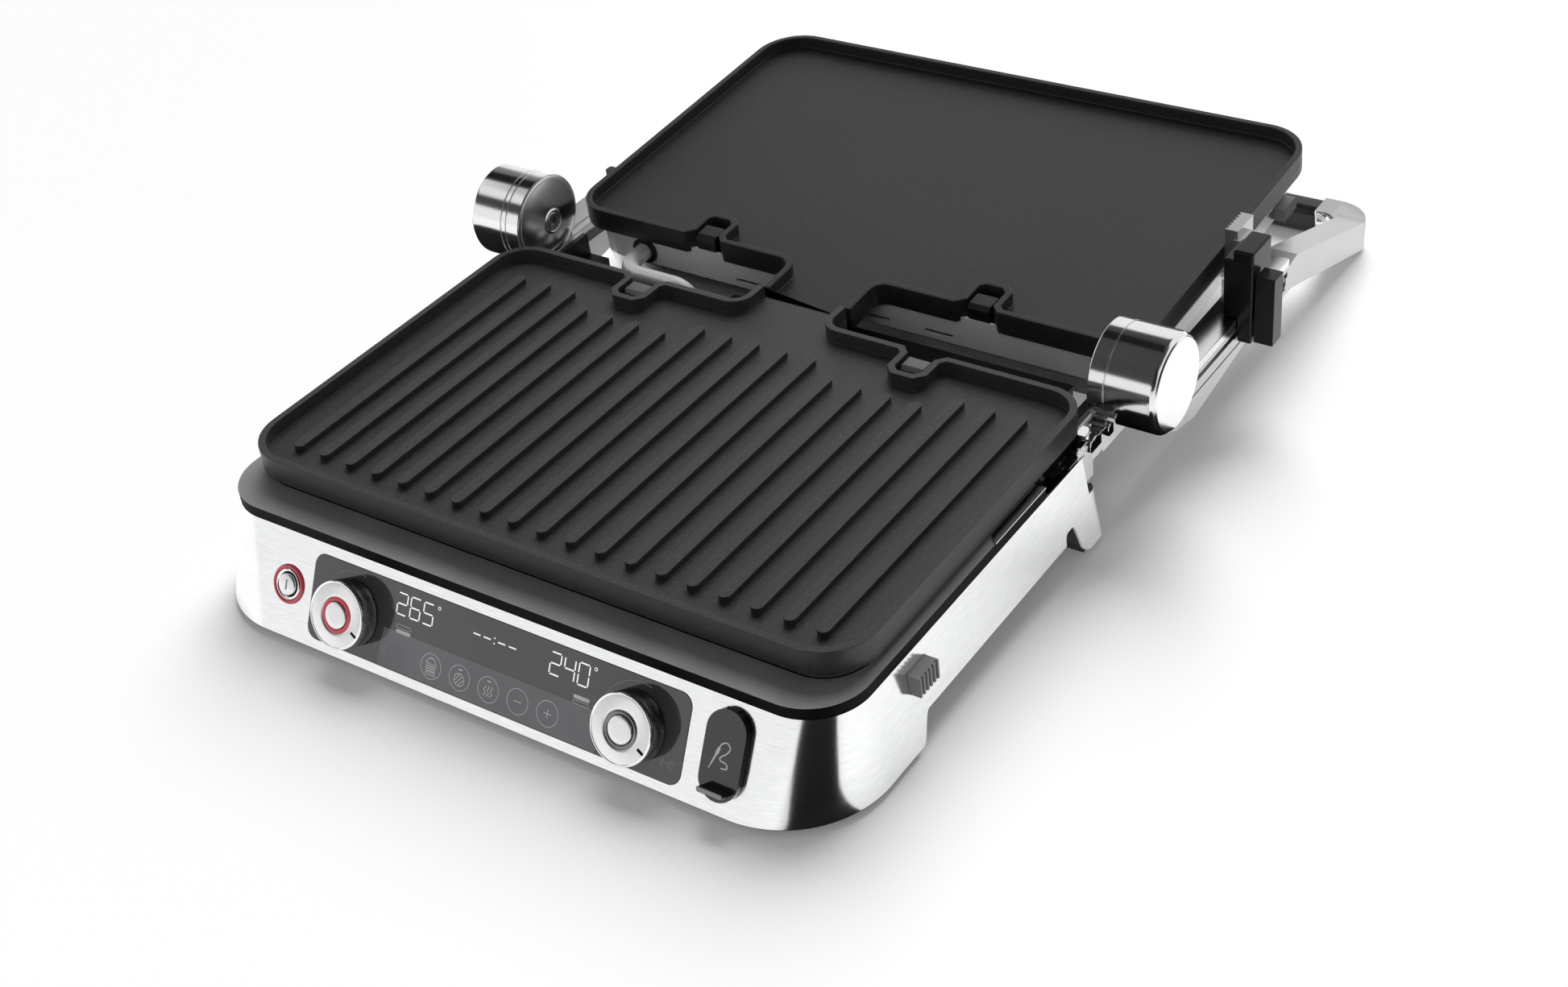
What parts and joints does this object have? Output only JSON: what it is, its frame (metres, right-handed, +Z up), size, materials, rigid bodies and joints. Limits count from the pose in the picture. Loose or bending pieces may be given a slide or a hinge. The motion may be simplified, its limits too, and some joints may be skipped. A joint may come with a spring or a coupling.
{
  "type": "panini press",
  "caption": "Contact grill opened flat: ribbed lower plate, smooth upper plate, brushed steel base with glass control panel and knobs, chrome hinge hubs and U-shaped handle.",
  "frame": {"origin": "on the table, under the middle of the hinge axis, which is also the middle of the opened grill", "axes": "+X to the right hub along the hinge axis, +Y towards the opened lid's handle, +Z up"},
  "size_m": [0.4432, 0.5995, 0.1038],
  "materials": {
    "tub_plastic": "moulded black plastic",
    "steel_skin": "fine horizontal brushing",
    "rubber": "matte",
    "screw_steel": "zinc plated",
    "deck_gloss": "satin dark grey",
    "trim_steel": "satin",
    "pan_steel": "plain sheet",
    "heater_sheath": "oxidised sheath",
    "catch_metal": "satin",
    "rack_steel": "polished",
    "housing_plastic": "moulded black plastic",
    "bracket_metal": "dark grey",
    "pin_steel": "ground",
    "hub_chrome": "satin chrome",
    "panel_glass": "glossy, printed",
    "board": "circuit board",
    "ring_red": "translucent red",
    "button_steel": "spun",
    "knob_metal": "knurled, dark nickel",
    "knob_face": "spun",
    "socket_plastic": "moulded",
    "cover_gloss": "gloss black",
    "tray_plastic": "moulded",
    "release_grey": "ribbed",
    "plate_coating": "speckled non-stick coating on cast aluminium",
    "arm_satin": "satin silver",
    "grip_black": "moulded",
    "slider_gloss": "gloss black",
    "cover_steel": "fine brushing",
    "unit_metal": "bright sheet"
  },
  "bodies": {
    "base": {"base_tub": "tub_plastic", "base_floor": "tub_plastic", "base_skin": "steel_skin", "rubber_feet": "rubber", "case_screws": "screw_steel", "deck": "deck_gloss", "deck_trim_left": "trim_steel", "deck_trim_right": "trim_steel", "reflector_pan": "pan_steel", "lower_heater": "heater_sheath", "lower_plate_catches": "catch_metal", "height_rack": "rack_steel", "rear_housing": "housing_plastic", "cord_inlet": "rubber", "hinge_bracket_left": "bracket_metal", "hinge_bracket_right": "bracket_metal", "hinge_pins": "pin_steel", "hub_dome_left": "hub_chrome", "hub_dome_right": "hub_chrome", "dome_screws": "screw_steel", "glass_panel": "panel_glass", "display_board": "board", "encoders": "pin_steel", "power_ring": "ring_red", "probe_socket": "socket_plastic"},
    "power_button": {"power_button": "button_steel"},
    "knob_left": {"knob_left": "knob_metal", "knob_face_left": "knob_face"},
    "knob_right": {"knob_right": "knob_metal", "knob_face_right": "knob_face"},
    "knob_button_left": {"knob_button_left": "button_steel"},
    "knob_button_right": {"knob_button_right": "button_steel"},
    "probe_cover": {"probe_cover": "cover_gloss"},
    "drip_tray": {"drip_tray": "tray_plastic"},
    "lower_release": {"lower_release": "release_grey"},
    "lower_plate": {"lower_plate": "plate_coating"},
    "lid_arms": {"arm_left": "arm_satin", "arm_right": "arm_satin", "rail_left": "trim_steel", "rail_right": "trim_steel", "hub_shell_left": "hub_chrome", "hub_shell_right": "hub_chrome", "hub_cap_left": "hub_chrome", "hub_cap_right": "hub_chrome", "handle_grip": "grip_black", "pivot_pins": "pin_steel"},
    "height_slider": {"slider_block": "slider_gloss", "slider_catch": "trim_steel", "slider_paddle": "slider_gloss", "slider_clip": "trim_steel"},
    "upper_unit": {"upper_housing": "unit_metal", "upper_cover": "cover_steel", "upper_reflector": "pan_steel", "upper_heater": "heater_sheath", "upper_plate_catches": "socket_plastic", "conduit": "rack_steel", "conduit_grommet": "rubber"},
    "upper_release": {"upper_release": "release_grey"},
    "upper_plate": {"upper_plate": "plate_coating"}
  },
  "joints": [
    {"name": "lid_hinge", "type": "hinge", "parent": "base", "child": "lid_arms", "pos_m": [0, 0, 0.0773], "axis": [1, 0, 0], "range_deg": [0, 176.7]},
    {"name": "head_pivot", "type": "hinge", "parent": "lid_arms", "child": "upper_unit", "pos_m": [0, 0.158, 0.044], "axis": [1, 0, 0], "range_deg": [-2, 2]},
    {"name": "slider_travel", "type": "slide", "parent": "lid_arms", "child": "height_slider", "axis": [0, 1, 0], "range_m": [-0.068, 0]},
    {"name": "lower_plate_lift", "type": "slide", "parent": "base", "child": "lower_plate", "axis": [0, 0, -1], "range_m": [-0.028, 0]},
    {"name": "upper_plate_lift", "type": "slide", "parent": "upper_unit", "child": "upper_plate", "axis": [0, 0.0562, -0.9984], "range_m": [-0.028, 0]},
    {"name": "drip_tray_slide", "type": "slide", "parent": "base", "child": "drip_tray", "axis": [0, 1, 0], "range_m": [0, 0.125]},
    {"name": "knob_left_turn", "type": "hinge", "parent": "base", "child": "knob_left", "pos_m": [-0.0872, -0.28297, 0.02697], "axis": [0, -0.8858, 0.464], "range_deg": [-20, 250]},
    {"name": "knob_right_turn", "type": "hinge", "parent": "base", "child": "knob_right", "pos_m": [0.0872, -0.28297, 0.02697], "axis": [0, -0.8858, 0.464], "range_deg": [-20, 250]},
    {"name": "knob_button_left_press", "type": "slide", "parent": "knob_left", "child": "knob_button_left", "axis": [0, 0.8858, -0.464], "range_m": [0, 0.001], "stiffness_N_per_m": 500, "springref_m": -0.001},
    {"name": "knob_button_right_press", "type": "slide", "parent": "knob_right", "child": "knob_button_right", "axis": [0, 0.8858, -0.464], "range_m": [0, 0.001], "stiffness_N_per_m": 500, "springref_m": -0.001},
    {"name": "power_button_press", "type": "slide", "parent": "base", "child": "power_button", "axis": [0, 0.8858, -0.464], "range_m": [0, 0.001], "stiffness_N_per_m": 500, "springref_m": -0.001},
    {"name": "probe_cover_hinge", "type": "hinge", "parent": "base", "child": "probe_cover", "pos_m": [0.137, -0.27389, 0.0484], "axis": [-1, 0, 0], "range_deg": [0, 95]},
    {"name": "lower_release_press", "type": "slide", "parent": "base", "child": "lower_release", "axis": [-1, 0, 0], "range_m": [0, 0.004], "stiffness_N_per_m": 400, "springref_m": -0.002},
    {"name": "upper_release_press", "type": "slide", "parent": "upper_unit", "child": "upper_release", "axis": [-1, 0, 0], "range_m": [0, 0.004], "stiffness_N_per_m": 400, "springref_m": -0.002}
  ]
}
